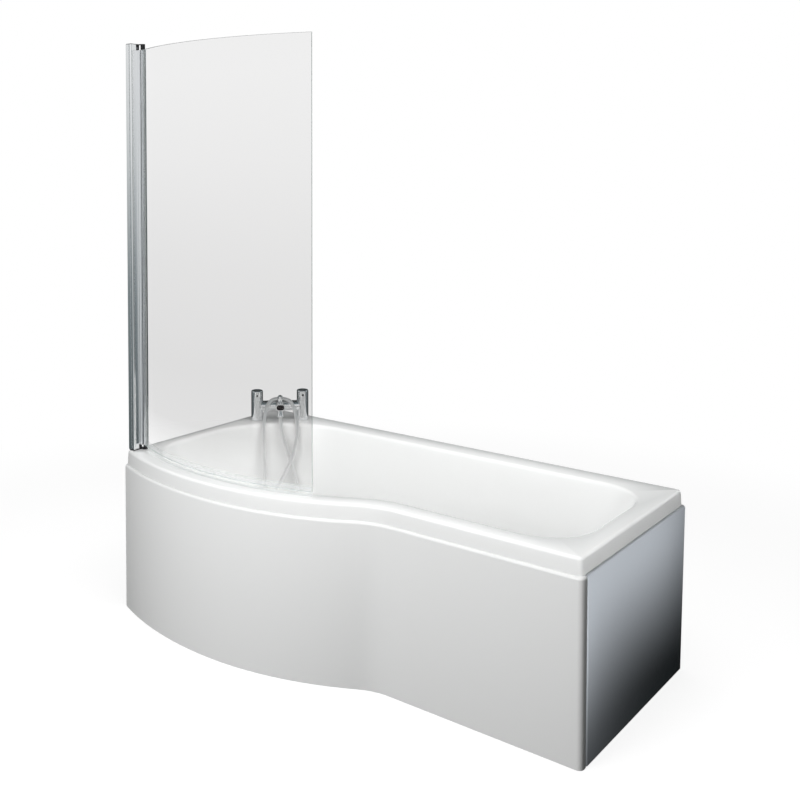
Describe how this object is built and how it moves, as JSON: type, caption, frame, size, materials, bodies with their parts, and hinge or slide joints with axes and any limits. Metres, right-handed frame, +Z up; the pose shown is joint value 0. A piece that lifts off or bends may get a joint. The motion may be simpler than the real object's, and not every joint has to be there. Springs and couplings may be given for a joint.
{
  "type": "b-shaped shower bath",
  "caption": "White b-shaped shower bath with curved front panel, end panel, pivoting curved glass screen and deck-mounted bath shower mixer with hose and handset.",
  "frame": {"origin": "on the floor under the middle of the bounding box", "axes": "+X from the shower end (wall side) to the foot end, +Y from the curved front panel to the wall behind, +Z up"},
  "size_m": [1.7, 0.9, 1.992],
  "materials": {
    "acrylic": "white high-gloss sanitary acrylic",
    "board": "raw particle board",
    "softwood": "planed softwood",
    "zinc_steel": "zinc-plated steel",
    "pads": "moulded feet",
    "black_rubber": "soft sealing rubber",
    "white_plastic": "moulded waste fittings",
    "chrome": "polished chrome plate",
    "hose_metal": "interlocked metal hose",
    "steel": "turned stainless steel",
    "brass": "raw brass",
    "black_plastic": "black moulded plastic",
    "nozzle_plate": "grey nozzle plate",
    "safety_glass": "clear toughened glass",
    "clear_seal": "clear flexible seal"
  },
  "bodies": {
    "bath": {"bath_shell": "acrylic", "baseboard": "board", "rim_battens": "softwood", "cradle_shower": "zinc_steel", "cradle_middle": "zinc_steel", "cradle_foot": "zinc_steel", "leg_studs": "zinc_steel", "leg_nuts": "zinc_steel", "leg_pads": "pads", "cradle_screws": "zinc_steel", "wall_brackets": "zinc_steel", "front_panel": "acrylic", "end_panel": "acrylic", "panel_battens": "softwood", "waste_flange": "chrome", "waste_seal": "black_rubber", "waste_body": "white_plastic", "waste_nut": "white_plastic", "trap_body": "white_plastic", "trap_nut": "white_plastic", "mixer_body": "chrome", "pillar_left": "chrome", "pillar_right": "chrome", "pillar_gaskets": "black_rubber", "inlet_tails": "brass", "deck_washers": "black_rubber", "deck_nuts": "brass", "cartridge_left": "brass", "cartridge_right": "brass", "spout_insert": "black_plastic", "hose_outlet": "chrome", "hose_nut": "chrome", "hose": "hose_metal", "hose_end_nut": "chrome", "handset_body": "chrome", "handset_face": "nozzle_plate", "wall_channel": "chrome", "hinge_post": "chrome", "post_foot": "black_plastic", "post_cap": "black_plastic", "post_screw": "steel", "pivot_pins": "steel"},
    "screen": {"hinge_rail": "chrome", "hinge_seal": "clear_seal", "glass": "safety_glass", "bottom_seal": "clear_seal"},
    "left_handle": {"handle_left": "chrome", "index_left": "black_plastic", "spindle_left": "steel"},
    "right_handle": {"handle_right": "chrome", "index_right": "black_plastic", "spindle_right": "steel"},
    "diverter": {"diverter_knob": "chrome", "diverter_rod": "steel"},
    "plug": {"waste_plug": "chrome", "plug_stem": "steel"}
  },
  "joints": [
    {"name": "screen_swing", "type": "hinge", "parent": "bath", "child": "screen", "pos_m": [-0.81, -0.29674, 1.27], "axis": [0, 0, 1], "range_deg": [-70, 60]},
    {"name": "left_handle_turn", "type": "hinge", "parent": "bath", "child": "left_handle", "pos_m": [-0.78182, 0.25962, 0.65], "axis": [0, 0, 1], "range_deg": [-90, 0]},
    {"name": "right_handle_turn", "type": "hinge", "parent": "bath", "child": "right_handle", "pos_m": [-0.65018, 0.38238, 0.65], "axis": [0, 0, 1], "range_deg": [0, 90]},
    {"name": "diverter_lift", "type": "slide", "parent": "bath", "child": "diverter", "axis": [0, 0, 1], "range_m": [0, 0.01]},
    {"name": "plug_lift", "type": "slide", "parent": "bath", "child": "plug", "axis": [0, 0, 1], "range_m": [0, 0.009]}
  ]
}
